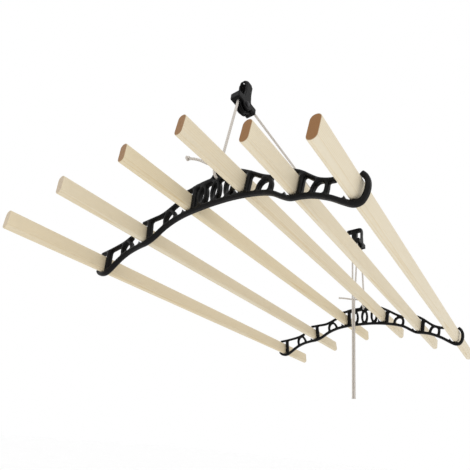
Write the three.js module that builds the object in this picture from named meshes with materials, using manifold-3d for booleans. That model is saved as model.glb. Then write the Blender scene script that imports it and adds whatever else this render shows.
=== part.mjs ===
// Ceiling mounted pulley rack for drying clothes.
//
// Two cast rack ends hold six wooden laths. A rope goes up from each rack end to a pulley
// that is screwed to the ceiling: one pulley with a single wheel, and one with two wheels
// side by side. Both ropes come down from the double pulley as two pull strands.
//
// Millimetres. +X runs across the rack, +Y runs along the laths, +Z is up.
// The origin is on the ceiling, midway between the two pulleys.

import * as THREE from 'three';
import { mergeVertices } from 'three/addons/utils/BufferGeometryUtils.js';
import Module from 'manifold-3d';

const wasm = await Module();
wasm.setup();

// ---- driving dimensions -------------------------------------------------------------

const RACK_Z = -465; // height of the rack's own zero: the foot of its two end slots
const RACK_HALF_SPAN = 408; // from the middle of the object to each rack end's mid-plane
const CAST_THICK = 14; // rack end, front to back
const RAIL = 8.6; // width of the bottom rail's bar
const TOP_RAIL = 7.6;
const RING_BAR = 7.6; // bars of the horseshoe rings
const BAR_STEP = 5; // spacing of the points along a curved bar

const LATH_LENGTH = 1200;
const LATH_HEIGHT = 40;
const LATH_WIDTH = 18;
const LATH_EDGE = 8; // radius of a lath's rounded long edges
const LATH_SIDE_GAP = 0.6; // lath to the slot's upright
const LATH_FOOT_GAP = 0.4; // lath to the slot's seat

const ROPE_R = 3.5;
const ROPE_SIDES = 8;
const WHEEL_R = 19; // from the axle to the middle of the rope
const WHEEL_RIM = 21;
const WHEEL_WIDTH = 14;
const WHEEL_DROP = 67; // axle below the ceiling
const PULLEY_Y = 365; // each axle's distance from the middle of the object
const WHEEL_SPACING = 34; // between the two wheels of the double pulley
const AXLE_R = 4;
const BORE_R = 4.4;
const GAP = 0.3; // left between solids that touch

const EYE_Z = 161; // centre of the rope eye above the rack's zero
const EYE_HOLE = 6.5;
const EYE_RIM = 14;
const ROPE_END_Z = -635; // where both pull strands end

// Each slot: the foot of its upright's left face (x, z) in the rack's own plane, and the
// lean of the slot in degrees, positive towards +X at the top. The slots fan out like the
// arch. shift is how far that lath has been pushed along by hand.
const SLOTS = [
  { x: -316, z: 13.5, lean: -7.5, shift: -25 },
  { x: -185, z: 62, lean: -9.5, shift: -6 },
  { x: -60.7, z: 104, lean: -2.6, shift: 24 },
  { x: 75.3, z: 101.5, lean: 6.4, shift: 28 },
  { x: 189.2, z: 57, lean: 8, shift: 54 },
  { x: 296.5, z: 12.5, lean: 10, shift: 56 },
];

// ---- materials ----------------------------------------------------------------------

const finishes = {
  castIron: { color: 0x0b0b0d, roughness: 0.45, metalness: 0.3 },
  pine: { color: 0xdfd2b4, roughness: 0.6, metalness: 0 },
  rope: { color: 0xcfc8ba, roughness: 0.9, metalness: 0 },
  steel: { color: 0x3a3a3c, roughness: 0.4, metalness: 0.8 },
};

const model = new THREE.Group();

function addPart(name, geometry, finish, parent = model) {
  const mesh = new THREE.Mesh(geometry, new THREE.MeshStandardMaterial(finishes[finish]));
  mesh.name = name;
  parent.add(mesh);
  return mesh;
}

// ---- solids and booleans ------------------------------------------------------------

function toSolid(geometry) {
  const bare = geometry.clone();
  bare.deleteAttribute('normal');
  bare.deleteAttribute('uv');
  const merged = mergeVertices(bare, 1e-4);
  return new wasm.Manifold(new wasm.Mesh({
    numProp: 3,
    vertProperties: new Float32Array(merged.attributes.position.array),
    triVerts: new Uint32Array(merged.index.array),
  }));
}

function toGeometry(solid) {
  const mesh = solid.getMesh();
  const geometry = new THREE.BufferGeometry();
  geometry.setAttribute('position', new THREE.BufferAttribute(mesh.vertProperties, 3));
  geometry.setIndex(new THREE.BufferAttribute(mesh.triVerts, 1));
  geometry.computeVertexNormals();
  return geometry;
}

function joined(geometries) {
  return geometries.map(toSolid).reduce((whole, piece) => whole.add(piece));
}

// A flat outline in the XZ plane, given depth along Y and centred on y = 0.
function plate(shape, depth) {
  const geometry = new THREE.ExtrudeGeometry(shape, {
    depth, bevelEnabled: false, curveSegments: 10,
  });
  geometry.translate(0, 0, -depth / 2);
  geometry.rotateX(Math.PI / 2);
  return geometry;
}

// A cylinder between two x positions, its axis along X.
function crossBar(x0, x1, y, z, radius, sides = 28) {
  const geometry = new THREE.CylinderGeometry(radius, radius, x1 - x0, sides);
  geometry.rotateZ(Math.PI / 2);
  geometry.translate((x0 + x1) / 2, y, z);
  return geometry;
}

// ---- rack ends ----------------------------------------------------------------------

// The outline of a bar of one width that follows a smooth line through the points.
function barShape(points, width) {
  const line = new THREE.SplineCurve(points.map(([x, z]) => new THREE.Vector2(x, z)));
  const steps = Math.max(2, Math.round(line.getLength() / BAR_STEP));
  const sides = [[], []];
  for (let i = 0; i <= steps; i += 1) {
    const centre = line.getPointAt(i / steps);
    const along = line.getTangentAt(i / steps);
    const across = new THREE.Vector2(-along.y, along.x).multiplyScalar(width / 2);
    sides[0].push(centre.clone().sub(across));
    sides[1].unshift(centre.clone().add(across));
  }
  return new THREE.Shape([...sides[0], ...sides[1]]);
}

// The bottom rail starts in the lip of the first slot, dips under each slot, and ends in
// the wall that curls round the last lath.
const BOTTOM_RAIL = [
  [-346, 20], [-338, 11.5], [-326, 7.5], [-312, 8.5], [-295, 18], [-270, 35], [-244, 46.5],
  [-215, 53], [-188, 56.5], [-165, 65.5], [-140, 80.5], [-112, 91.5], [-80, 98], [-40, 100.8],
  [0, 101.3], [40, 99.3], [78, 94.3], [112, 87], [138, 77.5], [160, 63], [176, 54.5],
  [198, 51.2], [222, 44.5], [250, 30.5], [272, 15.6], [287, 7.1], [299, 8.2], [307.2, 20.3],
  [310.2, 36], [307.7, 48.5], [300.5, 58.2],
];

const UPRIGHTS = [
  { line: [[-309.8, 9], [-317.2, 64]], width: 11 },
  { line: [[-178.5, 57], [-188, 112.5]], width: 11 },
  { line: [[-54.9, 100], [-57.5, 155]], width: 11 },
  { line: [[79.6, 95], [85.3, 144]], width: 10.2 },
  { line: [[193.6, 52], [200.1, 98]], width: 10.2 },
];

// Each top rail hangs over the lath on its left and stops short of the next one.
const TOP_RAILS = [
  { line: [[-345, 61.5], [-304, 66.5], [-264, 74], [-239.5, 84]], width: TOP_RAIL },
  { line: [[-211, 110.5], [-180, 112.7], [-144.5, 116], [-105, 132.5]], width: TOP_RAIL },
  { line: [[-86, 152.5], [-68, 154.5], [-50, 157]], width: TOP_RAIL },
  { line: [[-62, 154.5], [-30, 157], [0, 157.3], [28, 155], [49, 150.5]], width: 12 },
  { line: [[60, 155.5], [85.5, 141], [115.5, 121.5], [138, 110.5]], width: TOP_RAIL },
  { line: [[176, 110.5], [196, 99], [226, 74], [246, 64.5], [260, 61.5]], width: TOP_RAIL },
];

// Horseshoe rings that tie the top rails to the bottom rail.
const HORSESHOES = [
  [[-261, 42], [-265.5, 57], [-261, 70], [-251.5, 75], [-242, 69.5], [-235, 59], [-229, 50]],
  [[-133, 85], [-136.5, 99], [-132, 112], [-122.5, 117], [-113.5, 112], [-108, 104], [-102.5, 94]],
  [[105.5, 89], [108.5, 103], [116, 110.5], [126, 111.5], [134, 105], [135.5, 96], [132, 80]],
  [[216.5, 47], [219, 58], [225.5, 67], [235, 69], [243, 62.5], [244.5, 53], [241, 37]],
];

const OVALS = { centres: [-33, 1.5, 36], z: 127.5, outer: [12.4, 27], inner: [5.9, 17] };

// The seat under a lath rises into a pointed tooth that keeps the lath against its
// upright. Drawn in the slot's own frame: u is across from the upright's face, v is up.
function seatShape(slot) {
  const lean = THREE.MathUtils.degToRad(slot.lean);
  const at = (u, v) => [
    slot.x + u * Math.cos(lean) + v * Math.sin(lean),
    slot.z - u * Math.sin(lean) + v * Math.cos(lean),
  ];
  const shape = new THREE.Shape();
  shape.moveTo(...at(-26, 10.5));
  shape.lineTo(...at(-24.5, -5));
  shape.lineTo(...at(4, -5));
  shape.lineTo(...at(4, 0));
  shape.lineTo(...at(-13, 0));
  shape.quadraticCurveTo(...at(-21.5, 0.5), ...at(-26, 10.5));
  return shape;
}

function ovalShape(x) {
  const shape = new THREE.Shape();
  shape.absellipse(x, OVALS.z, ...OVALS.outer, 0, 2 * Math.PI, false);
  const hole = new THREE.Path();
  hole.absellipse(x, OVALS.z, ...OVALS.inner, 0, 2 * Math.PI, true);
  shape.holes.push(hole);
  return shape;
}

function rackEndGeometry() {
  const shapes = [
    barShape(BOTTOM_RAIL, RAIL),
    ...UPRIGHTS.map(({ line, width }) => barShape(line, width)),
    ...TOP_RAILS.map(({ line, width }) => barShape(line, width)),
    ...HORSESHOES.map((line) => barShape(line, RING_BAR)),
    ...OVALS.centres.map(ovalShape),
    ...SLOTS.slice(1).map(seatShape),
  ];
  const eye = new THREE.Shape();
  eye.absarc(0, EYE_Z, EYE_RIM, 0, 2 * Math.PI, false);
  shapes.push(eye);
  const eyeHole = crossBar(-CAST_THICK, CAST_THICK, 0, 0, EYE_HOLE, 20);
  eyeHole.rotateZ(Math.PI / 2);
  eyeHole.translate(0, 0, EYE_Z);
  const body = joined(shapes.map((shape) => plate(shape, CAST_THICK)));
  return toGeometry(body.subtract(toSolid(eyeHole)));
}

// ---- laths --------------------------------------------------------------------------

function lathGeometry() {
  const [w, h, r] = [LATH_WIDTH / 2, LATH_HEIGHT / 2, LATH_EDGE];
  const shape = new THREE.Shape();
  shape.absarc(w - r, h - r, r, 0, Math.PI / 2, false);
  shape.absarc(r - w, h - r, r, Math.PI / 2, Math.PI, false);
  shape.absarc(r - w, r - h, r, Math.PI, 1.5 * Math.PI, false);
  shape.absarc(w - r, r - h, r, 1.5 * Math.PI, 2 * Math.PI, false);
  return plate(shape, LATH_LENGTH);
}

// ---- ropes --------------------------------------------------------------------------

// A line through a list of points that ExtrudeGeometry follows point by point, so that a
// long straight run needs no more steps than a tight bend.
class Route extends THREE.Curve {
  constructor(points) {
    super();
    this.points = points;
  }

  getPoint(t) {
    const place = t * (this.points.length - 1);
    const i = Math.min(Math.floor(place + 1e-9), this.points.length - 2);
    return this.points[i].clone().lerp(this.points[i + 1], place - i);
  }

  getPointAt(u) {
    return this.getPoint(u);
  }

  getTangentAt(u) {
    const i = Math.round(u * (this.points.length - 1));
    const before = this.points[Math.max(i - 1, 0)];
    const after = this.points[Math.min(i + 1, this.points.length - 1)];
    return after.clone().sub(before).normalize();
  }
}

function ropeGeometry(points) {
  const section = new THREE.Shape();
  section.absarc(0, 0, ROPE_R, 0, 2 * Math.PI, false);
  return new THREE.ExtrudeGeometry(section, {
    steps: points.length - 1,
    curveSegments: ROPE_SIDES / 2,
    extrudePath: new Route(points),
  });
}

// Points round a wheel at x, from one angle to another, measured from +Y towards +Z.
function wheelArc(x, y, fromDeg, toDeg, count) {
  const points = [];
  for (let i = 0; i <= count; i += 1) {
    const angle = THREE.MathUtils.degToRad(fromDeg + (toDeg - fromDeg) * i / count);
    points.push(new THREE.Vector3(
      x, y + WHEEL_R * Math.cos(angle), -WHEEL_DROP + WHEEL_R * Math.sin(angle)));
  }
  return points;
}

function smooth(points, count) {
  const curve = new THREE.CatmullRomCurve3(points.map((p) => new THREE.Vector3(...p)));
  return curve.getSpacedPoints(count);
}

// The drop ropes lean in a little: their pulleys are closer together than the eyes.
const HITCH_Z = RACK_Z + EYE_Z + (EYE_HOLE + EYE_RIM) / 2; // middle of the eye's top bar
const LOOP_R = 12; // the loop of rope round that bar
const KNOT_R = 7;
const KNOT_Z = HITCH_Z + LOOP_R + ROPE_R + KNOT_R - 1;
const LEAN_DEG = Math.atan2(
  RACK_HALF_SPAN - PULLEY_Y - WHEEL_R, -WHEEL_DROP - KNOT_Z) * 180 / Math.PI;

// ---- pulleys ------------------------------------------------------------------------

const CHEEK = 5; // thickness of a pulley's cheek
const WHEEL_SIDE_GAP = 1;
const HALF_MOUTH = WHEEL_WIDTH / 2 + WHEEL_SIDE_GAP;
const BASE = { thick: 6, halfLength: 14, corner: 11, screwY: 8, screwR: 2.2, headR: 4 };
const KEEPER = { y: 28.3, width: 8.6, top: -53, bottom: -70 };

// A cheek seen along X: broad under the base, and round below the axle.
function cheek(x0, x1) {
  const shape = new THREE.Shape();
  const reach = 14;
  shape.moveTo(-11, -BASE.thick + 1);
  shape.lineTo(-10, -30);
  shape.lineTo(-reach, -WHEEL_DROP);
  shape.absarc(0, -WHEEL_DROP, reach, Math.PI, 2 * Math.PI, false);
  shape.lineTo(10, -30);
  shape.lineTo(11, -BASE.thick + 1);
  const geometry = new THREE.ExtrudeGeometry(shape, {
    depth: x1 - x0, bevelEnabled: false, curveSegments: 14,
  });
  geometry.rotateX(Math.PI / 2);
  geometry.rotateZ(Math.PI / 2);
  geometry.translate(x0, 0, 0);
  return geometry;
}

function box(x0, x1, y0, y1, z0, z1) {
  const geometry = new THREE.BoxGeometry(x1 - x0, y1 - y0, z1 - z0);
  geometry.translate((x0 + x1) / 2, (y0 + y1) / 2, (z0 + z1) / 2);
  return geometry;
}

// A base plate, a cheek each side of every wheel, and keeper bars that hold the rope in
// its groove. wheelXs lists the wheels' middles.
function bracketGeometry(wheelXs) {
  const left = Math.min(...wheelXs) - HALF_MOUTH - CHEEK;
  const right = Math.max(...wheelXs) + HALF_MOUTH + CHEEK;
  const base = new THREE.Shape();
  const [w, h, r] = [(right - left) / 2, BASE.halfLength, BASE.corner];
  base.absarc(w - r, h - r, r, 0, Math.PI / 2, false);
  base.absarc(r - w, h - r, r, Math.PI / 2, Math.PI, false);
  base.absarc(r - w, r - h, r, Math.PI, 1.5 * Math.PI, false);
  base.absarc(w - r, r - h, r, 1.5 * Math.PI, 2 * Math.PI, false);
  const top = new THREE.ExtrudeGeometry(base, {
    depth: BASE.thick, bevelEnabled: false, curveSegments: 8,
  });
  top.translate((left + right) / 2, 0, -BASE.thick);

  const edges = [left];
  wheelXs.slice().sort((a, b) => a - b).forEach((x) => edges.push(x - HALF_MOUTH, x + HALF_MOUTH));
  edges.push(right);
  const pieces = [top];
  for (let i = 0; i < edges.length; i += 2) {
    pieces.push(cheek(edges[i], edges[i + 1]));
  }
  for (const side of [-1, 1]) {
    const inner = side * (KEEPER.y - KEEPER.width / 2);
    const outer = side * (KEEPER.y + KEEPER.width / 2);
    pieces.push(box(left, right, Math.min(inner, outer), Math.max(inner, outer),
      KEEPER.bottom, KEEPER.top));
    for (let i = 0; i < edges.length; i += 2) {
      pieces.push(box(edges[i], edges[i + 1], Math.min(side * 8, outer), Math.max(side * 8, outer),
        KEEPER.bottom, KEEPER.top));
    }
  }
  let solid = joined(pieces);
  for (const x of wheelXs) {
    for (const side of [-1, 1]) {
      const hole = new THREE.LatheGeometry([
        [0, -BASE.thick - 1], [BASE.headR, -BASE.thick - 1], [BASE.headR, -BASE.thick + 0.8],
        [BASE.screwR, -2.2], [BASE.screwR, 1], [0, 1],
      ].map(([radius, z]) => new THREE.Vector2(radius, z)), 20);
      hole.rotateX(Math.PI / 2);
      hole.translate(x, side * BASE.screwY, 0);
      solid = solid.subtract(toSolid(hole));
    }
  }
  const bore = crossBar(left - 1, right + 1, 0, -WHEEL_DROP, BORE_R);
  return { geometry: toGeometry(solid.subtract(toSolid(bore))), left, right };
}

function wheelGeometry() {
  const half = WHEEL_WIDTH / 2;
  const floor = WHEEL_R - ROPE_R - GAP;
  const groove = new THREE.Path();
  groove.moveTo(WHEEL_RIM, -half + 2);
  groove.quadraticCurveTo(floor, -4.5, floor, 0);
  groove.quadraticCurveTo(floor, 4.5, WHEEL_RIM, half - 2);
  const profile = [
    new THREE.Vector2(BORE_R, -half),
    new THREE.Vector2(WHEEL_RIM, -half),
    ...groove.getPoints(5),
    new THREE.Vector2(WHEEL_RIM, half),
    new THREE.Vector2(BORE_R, half),
    new THREE.Vector2(BORE_R, -half),
  ];
  const geometry = new THREE.LatheGeometry(profile, 40);
  geometry.rotateZ(-Math.PI / 2);
  return geometry;
}

// An axle pin with a round head at each end.
function axleGeometry(left, right) {
  return toGeometry(joined([
    crossBar(left - GAP - 1, right + GAP + 1, 0, 0, AXLE_R),
    crossBar(left - GAP - 3, left - GAP, 0, 0, 7),
    crossBar(right + GAP, right + GAP + 3, 0, 0, 7),
  ]));
}

function addPulley(name, y, wheels) {
  const group = new THREE.Group();
  group.position.y = y;
  model.add(group);
  const bracket = bracketGeometry(wheels.map(({ x }) => x));
  addPart(`${name}_bracket`, bracket.geometry, 'castIron', group);
  const axle = addPart(`${name}_axle`, axleGeometry(bracket.left, bracket.right), 'steel', group);
  axle.position.z = -WHEEL_DROP;
  for (const { x, node } of wheels) {
    const wheel = addPart(node, wheelGeometry(), 'castIron', group);
    wheel.position.set(x, 0, -WHEEL_DROP);
  }
}

// ---- the assembly -------------------------------------------------------------------

for (const [name, side] of [['near', -1], ['far', 1]]) {
  const end = addPart(`rack_end_${name}`, rackEndGeometry(), 'castIron');
  end.position.set(0, side * RACK_HALF_SPAN, RACK_Z);
}

SLOTS.forEach((slot, i) => {
  const holder = new THREE.Group();
  holder.position.set(slot.x, slot.shift, RACK_Z + slot.z);
  holder.rotation.y = THREE.MathUtils.degToRad(slot.lean);
  model.add(holder);
  const lath = addPart(`lath_${i + 1}`, lathGeometry(), 'pine', holder);
  lath.position.set(-LATH_SIDE_GAP - LATH_WIDTH / 2, 0, LATH_FOOT_GAP + LATH_HEIGHT / 2);
});

addPulley('single_pulley', -PULLEY_Y, [{ x: 0, node: 'single_pulley_wheel' }]);
addPulley('double_pulley', PULLEY_Y, [
  { x: 0, node: 'double_pulley_wheel_drop' },
  { x: -WHEEL_SPACING, node: 'double_pulley_wheel_run' },
]);

// Each rack end is hung by a loop of rope through its eye, a knot above it, and a tail.
const TAILS = {
  near: [[-8, 0, 1], [-20, -2, 7], [-36, -6, 17], [-50, -10, 26], [-62, -15, 31], [-73, -20, 33]],
  far: [[-8, 0, 1], [-27, -1, 5], [-46, -2, 8], [-72, -3, 15], [-96, -4, 20]],
};
for (const [name, side] of [['near', -1], ['far', 1]]) {
  const y = side * RACK_HALF_SPAN;
  const loop = new THREE.TorusGeometry(LOOP_R, ROPE_R, ROPE_SIDES, 20);
  loop.rotateY(Math.PI / 2);
  loop.translate(0, y, HITCH_Z);
  addPart(`rope_${name}_loop`, loop, 'rope');
  const knot = new THREE.SphereGeometry(KNOT_R, 14, 10);
  knot.scale(1, 1, 0.85);
  knot.translate(0, y, KNOT_Z);
  addPart(`rope_${name}_knot`, knot, 'rope');

  const from = TAILS[name].map(([dx, dy, dz]) => [dx, y + dy, KNOT_Z + dz]);
  addPart(`rope_${name}_tail`, ropeGeometry(smooth(from, 10)), 'rope');

  const foot = new THREE.Vector3(0, y - side * 0.7, KNOT_Z + KNOT_R * 0.85 + GAP);
  const tangentDeg = side < 0 ? 180 - LEAN_DEG : LEAN_DEG;
  const [tangent] = wheelArc(0, side * PULLEY_Y, tangentDeg, tangentDeg, 1);
  const last = tangent.clone().lerp(foot, 0.002);
  addPart(`rope_${name}_drop`, ropeGeometry([foot, foot.clone().lerp(last, 0.5), last]), 'rope');
}
const tailEnd = new THREE.SphereGeometry(5.5, 12, 9);
const [endX, endY, endZ] = TAILS.near[TAILS.near.length - 1];
tailEnd.translate(endX - 5.8, -RACK_HALF_SPAN + endY - 1, KNOT_Z + endZ + 0.6);
addPart('rope_near_tail_knot', tailEnd, 'rope');

// The first rope turns over the single wheel, runs along under the ceiling, and turns
// over one wheel of the double pulley. The second turns half round the other wheel.
const run = [
  ...wheelArc(0, -PULLEY_Y, 180 - LEAN_DEG, 90, 8),
  ...wheelArc(-WHEEL_SPACING, PULLEY_Y, 90, 0, 8),
];
addPart('rope_ceiling_run', ropeGeometry(run), 'rope');
addPart('rope_far_turn', ropeGeometry(wheelArc(0, PULLEY_Y, LEAN_DEG, 180, 18)), 'rope');

// One pull strand hangs straight down from its wheel. The other comes across to it and
// then hangs beside it. Both end at one height.
const STRAND_TOP = -WHEEL_DROP - 2 * GAP;
const [RUN_X, RUN_Y] = [-WHEEL_SPACING, PULLEY_Y + WHEEL_R];
const straight = [];
for (let i = 0; i <= 12; i += 1) {
  straight.push(new THREE.Vector3(
    RUN_X, RUN_Y, STRAND_TOP + (ROPE_END_Z - STRAND_TOP) * i / 12));
}
addPart('rope_pull_run', ropeGeometry(straight), 'rope');

const BESIDE_X = RUN_X + 2 * ROPE_R + GAP;
const gathered = smooth([
  [0, PULLEY_Y - WHEEL_R, STRAND_TOP], [0, PULLEY_Y - WHEEL_R, -84],
  [-1, PULLEY_Y - WHEEL_R + 1.5, -106], [-9, 358, -160], [-19, 373, -225],
  [BESIDE_X + 1, RUN_Y - 1.5, -285], [BESIDE_X, RUN_Y, -330], [BESIDE_X, RUN_Y, -480],
  [BESIDE_X, RUN_Y, ROPE_END_Z],
], 32);
addPart('rope_pull_drop', ropeGeometry(gathered), 'rope');

export default model;
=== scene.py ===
import math

import bmesh
import bpy
from mathutils import Matrix, Vector, kdtree, noise


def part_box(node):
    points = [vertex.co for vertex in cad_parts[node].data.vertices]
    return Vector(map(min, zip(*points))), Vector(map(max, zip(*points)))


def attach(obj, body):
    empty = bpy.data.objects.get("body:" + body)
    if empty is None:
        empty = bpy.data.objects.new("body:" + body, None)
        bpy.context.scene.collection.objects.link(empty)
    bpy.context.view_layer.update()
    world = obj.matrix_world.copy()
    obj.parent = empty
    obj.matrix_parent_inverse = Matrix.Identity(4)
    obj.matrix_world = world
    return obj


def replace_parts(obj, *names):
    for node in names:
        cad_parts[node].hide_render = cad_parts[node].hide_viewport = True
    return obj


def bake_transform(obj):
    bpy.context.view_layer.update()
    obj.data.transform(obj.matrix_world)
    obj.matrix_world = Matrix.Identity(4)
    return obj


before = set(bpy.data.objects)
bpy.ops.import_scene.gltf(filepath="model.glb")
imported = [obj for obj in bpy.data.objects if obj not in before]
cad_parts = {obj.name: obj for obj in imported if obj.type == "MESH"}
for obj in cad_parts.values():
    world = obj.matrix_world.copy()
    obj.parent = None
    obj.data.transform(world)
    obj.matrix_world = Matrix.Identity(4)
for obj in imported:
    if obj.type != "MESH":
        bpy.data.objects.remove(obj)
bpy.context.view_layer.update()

# ---- dimensions shared with the CAD, in metres ---------------------------------------

RACK_HALF_SPAN = 0.408
ROPE_R = 0.0031  # a little thinner than the CAD's rope
WHEEL_R = 0.019  # axle to the middle of the rope
WHEEL_RIM = 0.021
WHEEL_WIDTH = 0.014
WHEEL_Z = -0.067
PULLEY_Y = 0.365
RUN_X = -0.034  # the double pulley's second wheel
HITCH_Z = -0.29375  # middle of the rope eye's top bar
LOOP_R = 0.012
KNOT_Z = -0.27225
ROPE_END_Z = -0.626  # the CAD's strands end 9 mm lower
LEAN = math.radians(6.67)  # of the two drop ropes
LATH_LEAN_DEG = (-7.5, -9.5, -2.6, 6.4, 8.0, 10.0)
LATH_HALF = (0.009, 0.600, 0.020)
LATH_EDGE = 0.0084
FLOOR_Z = -1.55

# ---- camera ---------------------------------------------------------------------------


def make_camera():
    """Looks up at the rack from its near right corner, a little rolled."""
    yaw, pitch, roll = (math.radians(a) for a in (-35.65, 22.37, 5.16))
    forward = Vector((math.sin(yaw) * math.cos(pitch), math.cos(yaw) * math.cos(pitch), math.sin(pitch)))
    level = Vector((math.cos(yaw), -math.sin(yaw), 0))
    upright = level.cross(forward)
    right = math.cos(roll) * level + math.sin(roll) * upright
    up = math.cos(roll) * upright - math.sin(roll) * level
    data = bpy.data.cameras.new("camera")
    data.sensor_width = 36
    data.lens = 29.4
    data.shift_x = -0.067
    data.shift_y = 0.113
    camera = bpy.data.objects.new("camera", data)
    turn = Matrix((right, up, -forward)).transposed()
    camera.matrix_world = Matrix.Translation((0.466, -0.856, -0.795)) @ turn.to_4x4()
    bpy.context.collection.objects.link(camera)
    bpy.context.scene.camera = camera


make_camera()

# ---- node helpers ---------------------------------------------------------------------


class Nodes:
    """A small wrapper that makes a material's node tree short to write."""

    def __init__(self, name):
        self.material = bpy.data.materials.new(name)
        self.material.use_nodes = True
        self.tree = self.material.node_tree
        self.shader = self.tree.nodes["Principled BSDF"]

    def add(self, kind, inputs=(), **settings):
        node = self.tree.nodes.new(kind)
        for key, value in settings.items():
            setattr(node, key, value)
        for key, value in dict(inputs).items():
            self.feed(node.inputs[key], value)
        return node

    def feed(self, socket, value):
        if isinstance(value, bpy.types.NodeSocket):
            self.tree.links.new(value, socket)
        else:
            socket.default_value = value

    def math(self, operation, a, b=0.0):
        return self.add("ShaderNodeMath", {0: a, 1: b}, operation=operation).outputs[0]

    def stretch(self, vector, scale):
        return self.add("ShaderNodeMapping", {"Vector": vector, "Scale": scale}).outputs[0]

    def noise(self, vector, scale, detail=3.0, roughness=0.5):
        inputs = {"Vector": vector, "Scale": scale, "Detail": detail, "Roughness": roughness}
        return self.add("ShaderNodeTexNoise", inputs).outputs["Fac"]

    def ramp(self, value, *stops):
        node = self.add("ShaderNodeValToRGB", {"Fac": value})
        elements = node.color_ramp.elements
        while len(elements) < len(stops):
            elements.new(0.5)
        for element, (place, colour) in zip(elements, stops):
            element.position = place
            element.color = (*colour, 1)
        return node.outputs["Color"]

    def mix(self, fac, a, b, blend="MIX"):
        node = self.add("ShaderNodeMix", data_type="RGBA", blend_type=blend)
        self.feed(node.inputs[0], fac)
        self.feed(node.inputs[6], a)
        self.feed(node.inputs[7], b)
        return node.outputs[2]

    def bump(self, height, strength, distance, normal=None):
        inputs = {"Height": height, "Strength": strength, "Distance": distance}
        if normal is not None:
            inputs["Normal"] = normal
        return self.add("ShaderNodeBump", inputs).outputs["Normal"]

    def span(self, value, low, high, to_low, to_high):
        inputs = {"Value": value, 1: low, 2: high, 3: to_low, 4: to_high}
        return self.add("ShaderNodeMapRange", inputs).outputs[0]

    def set(self, **sockets):
        for key, value in sockets.items():
            self.feed(self.shader.inputs[key.replace("_", " ")], value)
        return self.material


def black_iron():
    """Satin black paint over a sand casting, worn a little paler on its coarser grains."""
    n = Nodes("black_iron")
    place = n.add("ShaderNodeTexCoord").outputs["Object"]
    sand = n.noise(place, 900.0, 4.0, 0.6)
    lumps = n.noise(place, 130.0, 2.0)
    patches = n.noise(place, 18.0, 3.0)
    faded = n.span(patches, 0.35, 0.7, 0.0, 1.0)
    shade = n.mix(faded, (0.0022, 0.0022, 0.0025, 1), (0.006, 0.0055, 0.0055, 1))
    worn = n.span(n.math("MULTIPLY", sand, lumps), 0.30, 0.38, 0.0, 0.5)
    colour = n.mix(worn, shade, (0.014, 0.013, 0.0125, 1))
    normal = n.bump(lumps, 0.35, 0.0008, n.bump(sand, 0.30, 0.0003))
    return n.set(
        Base_Color=colour,
        Roughness=n.span(patches, 0.3, 0.7, 0.30, 0.48),
        Normal=normal,
        Specular_IOR_Level=0.10,
    )


def axle_steel():
    """The pins: dark steel with paler worn patches and faint turned rings."""
    n = Nodes("axle_steel")
    place = n.add("ShaderNodeTexCoord").outputs["Object"]
    rings = n.noise(n.stretch(place, (3000, 60, 60)), 1.0, 2.0)
    patches = n.noise(place, 150.0, 3.0)
    worn = n.span(patches, 0.45, 0.75, 0.0, 1.0)
    colour = n.mix(worn, (0.012, 0.012, 0.013, 1), (0.06, 0.06, 0.063, 1))
    return n.set(
        Base_Color=colour,
        Metallic=0.75,
        Roughness=n.span(patches, 0.3, 0.7, 0.32, 0.5),
        Normal=n.bump(rings, 0.15, 0.0002),
    )


RINGS_PER_METRE = 330.0


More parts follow.
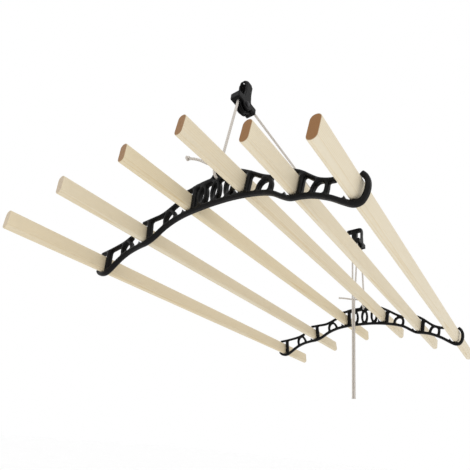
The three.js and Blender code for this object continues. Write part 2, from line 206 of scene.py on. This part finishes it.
def pine(index, end_stain_and_shade, tint):
    """Planed pine cut out of a round log: its growth rings show as long grain on the faces
    and as arcs on the end, which is darker because end grain is rough and thirsty, and darker again by
    painted shade whose strength is set per lath."""
    n = Nodes(f"pine_{index}")
    place = n.add("ShaderNodeTexCoord").outputs["Object"]
    wander = n.noise(n.stretch(place, (9, 1.4, 9)), 1.0, 2.0)
    drift = n.add("ShaderNodeSeparateXYZ", {0: place})
    pith_x = 0.035 + 0.012 * math.sin(2.3 * index)
    pith_z = -0.05 + 0.03 * math.cos(1.7 * index)
    across = n.math("SUBTRACT", drift.outputs[0], pith_x)
    upward = n.math("SUBTRACT", drift.outputs[2], pith_z)
    radius = n.math("SQRT", n.math(
        "ADD", n.math("MULTIPLY", across, across), n.math("MULTIPLY", upward, upward)))
    bent = n.math("ADD", radius, n.math("MULTIPLY", wander, 0.012))
    phase = n.math("FRACT", n.math("MULTIPLY", bent, RINGS_PER_METRE))
    late = n.ramp(
        phase,
        (0.0, (0.0, 0.0, 0.0)),
        (0.62, (0.25, 0.25, 0.25)),
        (0.9, (1, 1, 1)),
        (1.0, (0.0, 0.0, 0.0)),
    )
    fibre = n.noise(n.stretch(place, (1600, 22, 1600)), 1.0, 3.0, 0.6)
    blotch = n.noise(n.stretch(place, (30, 3, 30)), 1.0, 2.0)
    lighter = tuple(c * 1.03 for c in tint)
    pale = n.mix(n.span(blotch, 0.3, 0.7, 0.0, 1.0), (*lighter, 1), (*tint, 1))
    darker = n.mix(1.0, pale, (0.88, 0.78, 0.60, 1), "MULTIPLY")
    streaks = n.math("MULTIPLY", late, n.span(fibre, 0.3, 0.7, 0.35, 1.0))
    face = n.mix(streaks, pale, darker)
    face = n.mix(n.span(fibre, 0.55, 0.8, 0.0, 0.22), face, darker)

    pores = n.noise(place, 2600.0, 2.0, 0.6)
    facing = n.add("ShaderNodeSeparateXYZ", {0: n.add("ShaderNodeTexCoord").outputs["Normal"]})
    end_face = n.span(n.math("ABSOLUTE", facing.outputs[1]), 0.45, 0.95, 0.0, 1.0)
    # The end faces are browned partly for the end grain's real tone and partly as painted shade, its
    # strength set per lath.
    end_grain_tone_and_shade = n.mix(end_stain_and_shade, pale, (0.25, 0.108, 0.022, 1))
    end_grain_tone_and_shade = n.mix(n.math("MULTIPLY", late, 0.45), end_grain_tone_and_shade, (0.15, 0.070, 0.028, 1))
    end_grain_tone_and_shade = n.mix(n.span(pores, 0.5, 0.75, 0.0, 0.35), end_grain_tone_and_shade, (0.13, 0.07, 0.035, 1))
    grain = n.math("ADD", n.math("MULTIPLY", fibre, 0.7), n.math("MULTIPLY", late, 0.3))
    return n.set(
        Base_Color=n.mix(end_face, face, end_grain_tone_and_shade),
        Roughness=n.span(fibre, 0.3, 0.7, 0.50, 0.66),
        Normal=n.bump(grain, 0.22, 0.0004),
    )


STRANDS = 3  # laid together in the rope


def cotton():
    """Soft laid rope: fibres run along each strand, and painted shade darkens the grooves between the
    strands.
    """
    n = Nodes("cotton")
    around = n.add("ShaderNodeUVMap", uv_map="rope").outputs["UV"]
    split = n.add("ShaderNodeSeparateXYZ", {0: around})
    fibre = n.noise(n.stretch(around, (26, 3.2, 1)), 1.0, 3.0, 0.65)
    fuzz = n.noise(n.add("ShaderNodeTexCoord").outputs["Object"], 1500.0, 3.0)
    lobe = n.math("ABSOLUTE", n.math("COSINE", n.math("MULTIPLY", split.outputs[0], STRANDS * math.pi)))
    fibre_colour = n.mix(n.span(fibre, 0.3, 0.7, 0.0, 1.0), (0.50, 0.455, 0.41, 1), (0.66, 0.62, 0.57, 1))
    # Painted shade: darker in the grooves between the strands, lightest on the strand crowns.
    colour = n.mix(n.span(lobe, 0.0, 0.5, 0.75, 0.0), fibre_colour, (0.25, 0.22, 0.19, 1))
    height = n.math("ADD", n.math("MULTIPLY", fibre, 0.7), n.math("MULTIPLY", fuzz, 0.3))
    return n.set(
        Base_Color=colour,
        Roughness=0.9,
        Normal=n.bump(height, 0.6, 0.0004),
        Sheen_Weight=0.3,
        Sheen_Roughness=0.5,
    )


IRON = black_iron()
STEEL = axle_steel()
COTTON = cotton()

# ---- ropes ------------------------------------------------------------------------------

LAY = 0.020  # one full turn of the three strands
VALLEY = 0.84  # a rope's smallest radius, between two strands, as a share of its full one
STRAND_RISE = 0.19  # how far a strand stands above that
ROUNDED_END = 0.5  # length of a rope's rounded end, as a share of its radius
SMALLEST_END = 0.35
FRAY_LENGTH = 0.006
FRAY_SPREAD = 0.22
RING_SIDES = 18
RING_STEP = 0.0013


def resampled(points, step):
    """The same line with points an even step apart, both ends kept."""
    points = [Vector(p) for p in points]
    lengths = [(b - a).length for a, b in zip(points, points[1:])]
    total = sum(lengths)
    count = max(4, round(total / step))
    line, i, passed = [], 0, 0.0
    for k in range(count + 1):
        target = total * k / count
        while i < len(lengths) - 1 and passed + lengths[i] < target:
            passed += lengths[i]
            i += 1
        line.append(points[i].lerp(points[i + 1], min(1.0, (target - passed) / lengths[i])))
    return line, total


def curve_through(points, per_span=12):
    """A smooth Catmull-Rom line through a few points."""
    p = [Vector(q) for q in points]
    p = [2 * p[0] - p[1], *p, 2 * p[-1] - p[-2]]
    line = []
    for a, b, c, d in zip(p, p[1:], p[2:], p[3:]):
        for k in range(per_span):
            t = k / per_span
            line.append(0.5 * (2 * b + (c - a) * t + (2 * a - 5 * b + 4 * c - d) * t ** 2
                               + (3 * b - a - 3 * c + d) * t ** 3))
    return [*line, p[-2]]


def rope(name, points, body, radius=ROPE_R, frayed=False):
    """A three-strand laid rope along a line of points, as one closed mesh."""
    line, total = resampled(points, RING_STEP)
    mesh = bmesh.new()
    rope_uv = mesh.loops.layers.uv.new("rope")
    across = (line[1] - line[0]).orthogonal().normalized()
    rings = []
    last = len(line) - 1
    for i, centre in enumerate(line):
        along = (line[min(i + 1, last)] - line[max(i - 1, 0)]).normalized()
        across = (across - across.dot(along) * along).normalized()
        beside = along.cross(across)
        travelled = total * i / last
        near_end = min(travelled, total - travelled) / radius
        taper = math.sqrt(max(0.0, 1 - (1 - min(1.0, near_end / ROUNDED_END)) ** 2))
        if frayed and total - travelled < FRAY_LENGTH:
            taper = 1.0 + FRAY_SPREAD * (1 - (total - travelled) / FRAY_LENGTH)
        ring = []
        for k in range(RING_SIDES):
            angle = 2 * math.pi * k / RING_SIDES
            bulge = VALLEY + STRAND_RISE * abs(math.cos(STRANDS / 2 * angle)) ** 0.6
            laid = angle + 2 * math.pi * travelled / LAY
            size = radius * bulge * max(taper, SMALLEST_END)
            outward = math.cos(laid) * across + math.sin(laid) * beside
            ring.append(mesh.verts.new(centre + size * outward))
        rings.append((ring, travelled / radius))
    for (low, v0), (high, v1) in zip(rings, rings[1:]):
        for k in range(RING_SIDES):
            m = (k + 1) % RING_SIDES
            face = mesh.faces.new((low[k], low[m], high[m], high[k]))
            face.smooth = True
            u0, u1 = k / RING_SIDES, (k + 1) / RING_SIDES
            for loop, uv in zip(face.loops, ((u0, v0), (u1, v0), (u1, v1), (u0, v1))):
                loop[rope_uv].uv = uv
    for ring, at, sign in ((rings[0][0], line[0], -1), (rings[-1][0], line[-1], 1)):
        outward = (line[-1] - line[-2]) if sign > 0 else (line[0] - line[1])
        tip = mesh.verts.new(at + outward.normalized() * radius * 0.12)
        for k in range(RING_SIDES):
            m = (k + 1) % RING_SIDES
            corners = (ring[k], ring[m], tip) if sign > 0 else (ring[m], ring[k], tip)
            mesh.faces.new(corners)
    data = bpy.data.meshes.new(name)
    mesh.to_mesh(data)
    mesh.free()
    return placed(name, data, COTTON, body)


def placed(name, data, material, body=None, matrix=None):
    """A new piece from mesh data, with its material and the body it rides on."""
    piece = bpy.data.objects.new(name, data)
    if matrix is not None:
        piece.matrix_world = matrix
    bpy.context.collection.objects.link(piece)
    data.materials.clear()
    data.materials.append(material)
    if body is not None:
        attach(piece, body)
    return piece


def wheel_arc(x, y, start, stop, count=24):
    """Points round a wheel, by angle in radians from +Y towards +Z."""
    angles = (start + (stop - start) * i / count for i in range(count + 1))
    return [Vector((x, y + WHEEL_R * math.cos(a), WHEEL_Z + WHEEL_R * math.sin(a))) for a in angles]


def pull_strand(name, node, path):
    """One of the two strands that are pulled. It hangs from its wheel to a bare end."""
    piece = rope(name, path, None, frayed=True)
    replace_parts(piece, node)
    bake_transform(piece)
    _, length = resampled(path, RING_STEP)


# One strand hangs straight, and the other comes across to it and hangs beside it.
RUN_Y = PULLEY_Y + WHEEL_R
DROP_Y = PULLEY_Y - WHEEL_R
BESIDE_X = RUN_X + 2 * ROPE_R + 0.0003
pull_strand("pull_strand_run", "rope_pull_run",
            [Vector((RUN_X, RUN_Y, WHEEL_Z + (ROPE_END_Z - WHEEL_Z) * i / 24)) for i in range(25)])
pull_strand("pull_strand_drop", "rope_pull_drop", curve_through([
    (0, DROP_Y, WHEEL_Z), (0, DROP_Y, -0.084), (-0.001, DROP_Y + 0.0015, -0.106),
    (-0.009, 0.358, -0.160), (-0.019, 0.373, -0.225), (BESIDE_X + 0.001, RUN_Y - 0.0015, -0.285),
    (BESIDE_X, RUN_Y, -0.330), (BESIDE_X, RUN_Y, -0.480), (BESIDE_X, RUN_Y, ROPE_END_Z)]))

# The tails stand off sideways from the knots, stiff from having been tied for long.
NEAR_TAIL = (
    (-0.008, 0, 0.001), (-0.020, -0.002, 0.007), (-0.036, -0.006, 0.017),
    (-0.050, -0.010, 0.026), (-0.062, -0.015, 0.031), (-0.073, -0.020, 0.033),
)
FAR_TAIL = (
    (-0.008, 0, 0.001), (-0.027, -0.001, 0.005), (-0.046, -0.002, 0.008),
    (-0.072, -0.003, 0.015), (-0.096, -0.004, 0.020),
)


def tail(side, offsets):
    """The free end above a rack end's hitch."""
    knot = Vector((0, RACK_HALF_SPAN if side == "far" else -RACK_HALF_SPAN, KNOT_Z))
    path = curve_through([knot + Vector(o) for o in offsets])
    _, length = resampled(path, RING_STEP)
    piece = rope(f"tail_{side}", path, "rack", frayed=side == "far")
    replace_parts(piece, f"rope_{side}_tail")
    return piece, path, length


COIL_R = 0.0030
COIL_RISE = 0.0078


def near_end_knot(path):
    """An overhand knot in the near tail: a tight turn and a half of the same rope."""
    tip = path[-1]
    along = (path[-1] - path[-4]).normalized()
    across = along.orthogonal().normalized()
    beside = along.cross(across)
    turns = []
    for i in range(49):
        angle = 3.1 * math.pi * i / 48
        turns.append(tip + along * (0.0012 + COIL_RISE * i / 48)
                     + COIL_R * (math.cos(angle) * across + math.sin(angle) * beside))
    piece = rope("tail_near_knot", turns, "rack", radius=0.0027)
    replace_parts(piece, "rope_near_tail_knot")
    return piece


near_tail, near_path, near_length = tail("near", NEAR_TAIL)
far_tail, far_path, far_length = tail("far", FAR_TAIL)
near_end_knot(near_path)


FOOT_INSET = 0.0007  # a drop rope enters its knot this far inside the rack end's mid-plane
FOOT_RISE = 0.004


def drop_rope(side):
    """The taut rope from a rack end's knot up to its wheel."""
    sign = -1 if side == "near" else 1
    foot = Vector((0, sign * (RACK_HALF_SPAN - FOOT_INSET), KNOT_Z + FOOT_RISE))
    angle = math.pi - LEAN if sign < 0 else LEAN
    top = wheel_arc(0, sign * PULLEY_Y, angle, angle)[0]
    piece = rope(f"drop_{side}", [foot.lerp(top, i / 12) for i in range(13)], None)
    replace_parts(piece, f"rope_{side}_drop")
    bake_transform(piece)


LOOP_OPENING_DEG = 28  # left open at the loop's top, where both sides go into the knot
WRAP_R = 0.0062
WRAP_RISE = 0.0130


def hitch(side):
    """The loop through the eye, and the knot above it: two turns and a quarter of rope."""
    y = RACK_HALF_SPAN if side == "far" else -RACK_HALF_SPAN
    loop = []
    for i in range(49):
        angle = math.radians(90 + LOOP_OPENING_DEG / 2 + (360 - LOOP_OPENING_DEG) * i / 48)
        loop.append(Vector((0.0012 * math.cos(angle), y + LOOP_R * math.cos(angle),
                            HITCH_Z + LOOP_R * math.sin(angle))))
    loop = [Vector((0, y - 0.001, KNOT_Z)), *loop, Vector((0, y + 0.001, KNOT_Z))]
    piece = rope(f"loop_{side}", loop, "rack")
    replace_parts(piece, f"rope_{side}_loop")

    wraps = []
    for i in range(73):
        angle = math.radians(200 + 820 * i / 72)
        wraps.append(Vector((WRAP_R * math.cos(angle), y + WRAP_R * math.sin(angle),
                             KNOT_Z - 0.0060 + WRAP_RISE * i / 72)))
    knot = rope(f"knot_{side}", wraps, "rack", radius=0.0031)
    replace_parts(knot, f"rope_{side}_knot")


for side in ("near", "far"):
    drop_rope(side)
    hitch(side)

ceiling_run = rope("ceiling_run", [
    *wheel_arc(0, -PULLEY_Y, math.pi - LEAN, math.pi / 2),
    *wheel_arc(RUN_X, PULLEY_Y, math.pi / 2, 0),
], "ceiling")
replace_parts(ceiling_run, "rope_ceiling_run")
far_turn = rope("far_turn", wheel_arc(0, PULLEY_Y, LEAN, math.pi), "ceiling")
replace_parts(far_turn, "rope_far_turn")

# ---- castings ---------------------------------------------------------------------------

RACK_END_VOXEL = 0.0013
BRACKET_VOXEL = 0.0011


def with_modifiers(name, data, *modifiers):
    """The mesh that a stack of modifiers makes of this one."""
    worker = bpy.data.objects.new(name, data)
    bpy.context.collection.objects.link(worker)
    for kind, settings in modifiers:
        modifier = worker.modifiers.new(kind.lower(), kind)
        for key, value in settings.items():
            setattr(modifier, key, value)
    bpy.context.view_layer.update()
    result = bpy.data.meshes.new_from_object(worker.evaluated_get(bpy.context.evaluated_depsgraph_get()))
    bpy.data.objects.remove(worker)
    result.name = name
    for polygon in result.polygons:
        polygon.use_smooth = True
    return result


def remeshed(node, name, voxel):
    return with_modifiers(
        name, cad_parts[node].data.copy(),
        ("REMESH", {"mode": "VOXEL", "voxel_size": voxel}))


# The oval rings in the middle of a casting are thicker bars than the rest of it.
OVALS_HALF_WIDTH = 0.055
OVALS_FOOT_Z = HITCH_Z - 0.064
OVAL_EDGE_SHARE = 0.62


def round_bars(data, mid_y, bar_half=0.0046, edge_share=0.40):
    """Turns square-edged bars into oval ones: each point moves towards the middle plane,
    the further the nearer it is to the outline."""
    half = max(abs(v.co.y - mid_y) for v in data.vertices)
    walls = [v.co for v in data.vertices if abs(v.co.y - mid_y) < 0.80 * half]
    outline = kdtree.KDTree(len(walls))
    for i, co in enumerate(walls):
        outline.insert((co.x, 0, co.z), i)
    outline.balance()
    for vertex in data.vertices:
        co = vertex.co
        _, _, inset = outline.find((co.x, 0, co.z))
        rise = min(1.0, inset / bar_half)
        edge = OVAL_EDGE_SHARE if abs(co.x) < OVALS_HALF_WIDTH and co.z > OVALS_FOOT_Z else edge_share
        share = edge + (1 - edge) * math.sqrt(1 - (1 - rise) ** 2)
        co.y = mid_y + (co.y - mid_y) * share


def rack_end(side):
    mid_y = RACK_HALF_SPAN if side == "far" else -RACK_HALF_SPAN
    data = remeshed(f"rack_end_{side}", f"casting_{side}", RACK_END_VOXEL)
    round_bars(data, mid_y)
    smooth = with_modifiers(f"casting_{side}", data, ("SMOOTH", {"factor": 0.6, "iterations": 6}))
    piece = placed(f"casting_{side}", smooth, IRON, "rack")
    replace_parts(piece, f"rack_end_{side}")


for side in ("near", "far"):
    rack_end(side)

for node in ("single_pulley_bracket", "double_pulley_bracket"):
    data = remeshed(node, f"{node}_cast", BRACKET_VOXEL)
    smooth = with_modifiers(f"{node}_cast", data, ("SMOOTH", {"factor": 0.6, "iterations": 5}))
    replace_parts(placed(f"{node}_cast", smooth, IRON, "ceiling"), node)


def turned(name, profile, centre, sides=64):
    """A turned piece about an X axis, from (x, radius) points that start and end on it."""
    mesh = bmesh.new()
    rings = []
    for x, radius in profile:
        if radius < 1e-6:
            rings.append([mesh.verts.new((x, 0, 0))])
            continue
        angles = [2 * math.pi * k / sides for k in range(sides)]
        rings.append([mesh.verts.new((x, radius * math.cos(a), radius * math.sin(a))) for a in angles])
    closed = rings if len(rings[0]) == 1 else [*rings, rings[0]]
    for low, high in zip(closed, closed[1:]):
        for k in range(sides):
            m = (k + 1) % sides
            corners = [low[k % len(low)], low[m % len(low)], high[m % len(high)], high[k % len(high)]]
            corners = [c for i, c in enumerate(corners) if c not in corners[:i]]
            mesh.faces.new(corners).smooth = True
    bmesh.ops.recalc_face_normals(mesh, faces=mesh.faces)
    data = bpy.data.meshes.new(name)
    mesh.to_mesh(data)
    mesh.free()
    data.transform(Matrix.Translation(centre))
    return data


def centre_of(node):
    low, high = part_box(node)
    return (Vector(low) + Vector(high)) / 2


GROOVE_HALF = 0.0050
LIP = 0.0006  # the groove starts this far inside the rim


def groove_wheel(node, body):
    """A cast wheel with a deep round groove, hollowed sides and a hub."""
    half = WHEEL_WIDTH / 2
    depth = WHEEL_RIM - (WHEEL_R - ROPE_R)
    groove = []
    for i in range(13):
        angle = math.pi * i / 12
        groove.append((-GROOVE_HALF * math.cos(angle), WHEEL_RIM - LIP - depth * math.sin(angle)))
    left = [(-half, 0.0046), (-half, 0.0078), (-half + 0.0008, 0.0086), (-half + 0.0025, 0.0092),
            (-half + 0.0025, 0.0138), (-half + 0.0010, 0.0150), (-half + 0.0004, WHEEL_RIM - 0.0010),
            (-half + 0.0010, WHEEL_RIM - 0.0002)]
    right = [(-x, radius) for x, radius in reversed(left)]
    data = turned(f"{node}_cast", [*left, *groove, *right], centre_of(node))
    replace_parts(placed(f"{node}_cast", data, IRON, body), node)


groove_wheel("single_pulley_wheel", "near_wheel")
groove_wheel("double_pulley_wheel_drop", "far_drop_wheel")
groove_wheel("double_pulley_wheel_run", "far_run_wheel")

for node in ("single_pulley_axle", "double_pulley_axle"):
    low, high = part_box(node)
    half = (high[0] - low[0]) / 2
    head = [(-half, 0.0), (-half + 0.0002, 0.0030), (-half + 0.0010, 0.0054), (-half + 0.0022, 0.0068),
            (-half + 0.0030, 0.0068), (-half + 0.0030, 0.0040)]
    data = turned(f"{node}_pin", [*head, *((-x, r) for x, r in reversed(head))], centre_of(node), 48)
    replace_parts(placed(f"{node}_pin", data, STEEL, "ceiling"), node)

# ---- laths ------------------------------------------------------------------------------

# How brown each lath's end grain is, its real tone with painted shade that differs from lath to lath, and
# its colour: the boards don't match exactly.
LATHS = (
    (0.20, (0.66, 0.575, 0.42)),
    (0.30, (0.66, 0.585, 0.44)),
    (0.90, (0.66, 0.575, 0.41)),
    (0.95, (0.67, 0.595, 0.45)),
    (1.00, (0.69, 0.620, 0.48)),
    (1.00, (0.70, 0.630, 0.49)),
)


def lath_section(shrink):
    """Points round a lath's section, its narrow edges nearly half round."""
    w, h = LATH_HALF[0] - shrink, LATH_HALF[2] - shrink
    r = max(LATH_EDGE - shrink, 0.001)
    points = []
    for cx, cz, start in ((w - r, h - r, 0), (r - w, h - r, 90), (r - w, r - h, 180), (w - r, r - h, 270)):
        for i in range(8):
            angle = math.radians(start + 90 * i / 7)
            points.append((cx + r * math.cos(angle), cz + r * math.sin(angle)))
    return points


DENT = 0.00025


def lath(index, end_stain_and_shade, tint):
    mesh = bmesh.new()
    half = LATH_HALF[1]
    stations = [(-half, 0.0012), (-half + 0.0004, 0.0005), (-half + 0.0012, 0.0)]
    stations += [(-half + 0.0012 + (2 * half - 0.0024) * i / 80, 0.0) for i in range(1, 80)]
    stations += [(-y, shrink) for y, shrink in reversed(stations[:3])]
    rings = []
    for y, shrink in stations:
        ring = []
        for x, z in lath_section(shrink):
            dent = abs(noise.noise(Vector((x * 60 + index * 7, y * 9, z * 40))) * DENT)
            ring.append(mesh.verts.new((x * (1 - dent * 100), y, z - dent * math.copysign(0.3, z))))
        rings.append(ring)
    sides = len(rings[0])
    for low, high in zip(rings, rings[1:]):
        for k in range(sides):
            m = (k + 1) % sides
            mesh.faces.new((low[k], high[k], high[m], low[m])).smooth = True
    mesh.faces.new(rings[0])
    mesh.faces.new(list(reversed(rings[-1])))
    bmesh.ops.recalc_face_normals(mesh, faces=mesh.faces)
    name = f"lath_{index}_board"
    data = bpy.data.meshes.new(name)
    mesh.to_mesh(data)
    mesh.free()
    lean = math.radians(LATH_LEAN_DEG[index - 1])
    matrix = Matrix.Translation(centre_of(f"lath_{index}")) @ Matrix.Rotation(lean, 4, "Y")
    piece = placed(name, data, pine(index, end_stain_and_shade, tint), "rack", matrix)
    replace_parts(piece, f"lath_{index}")


for index, (end_stain_and_shade, tint) in enumerate(LATHS, 1):
    lath(index, end_stain_and_shade, tint)

# ---- floor and light ----------------------------------------------------------------------


def floor():
    n = Nodes("floor")
    mottle = n.noise(n.add("ShaderNodeTexCoord").outputs["Object"], 2.0)
    colour = n.ramp(mottle, (0.3, (0.985, 0.985, 0.985)), (0.7, (1.0, 1.0, 1.0)))
    n.set(Base_Color=colour, Roughness=0.9)
    data = bpy.data.meshes.new("floor")
    reach = 30
    data.from_pydata([(-reach, -reach, FLOOR_Z), (reach, -reach, FLOOR_Z), (reach, reach, FLOOR_Z),
                      (-reach, reach, FLOOR_Z)], [], [(0, 1, 2, 3)])
    data.materials.append(n.material)
    piece = bpy.data.objects.new("floor", data)
    bpy.context.collection.objects.link(piece)


def soft_light(name, place, aim, size, power):
    data = bpy.data.lights.new(name, "AREA")
    data.shape = "SQUARE"
    data.size = size
    data.energy = power
    light = bpy.data.objects.new(name, data)
    light.location = place
    light.rotation_euler = (Vector(aim) - Vector(place)).to_track_quat("-Z", "Y").to_euler()
    bpy.context.collection.objects.link(light)


floor()
soft_light("key", (1.6, -1.8, 1.0), (0, 0, -0.4), 1.6, 9)
soft_light("fill", (-2.0, -1.2, -0.6), (0, 0, -0.4), 2.0, 4)
soft_light("under", (0.3, -0.4, -1.5), (0, 0, -0.4), 1.8, 1.5)

world = bpy.data.worlds.new("studio")
world.use_nodes = True
world.node_tree.nodes["Background"].inputs[0].default_value = (1, 1, 1, 1)
world.node_tree.nodes["Background"].inputs[1].default_value = 1.0
bpy.context.scene.world = world
bpy.context.scene.view_settings.view_transform = "Standard"
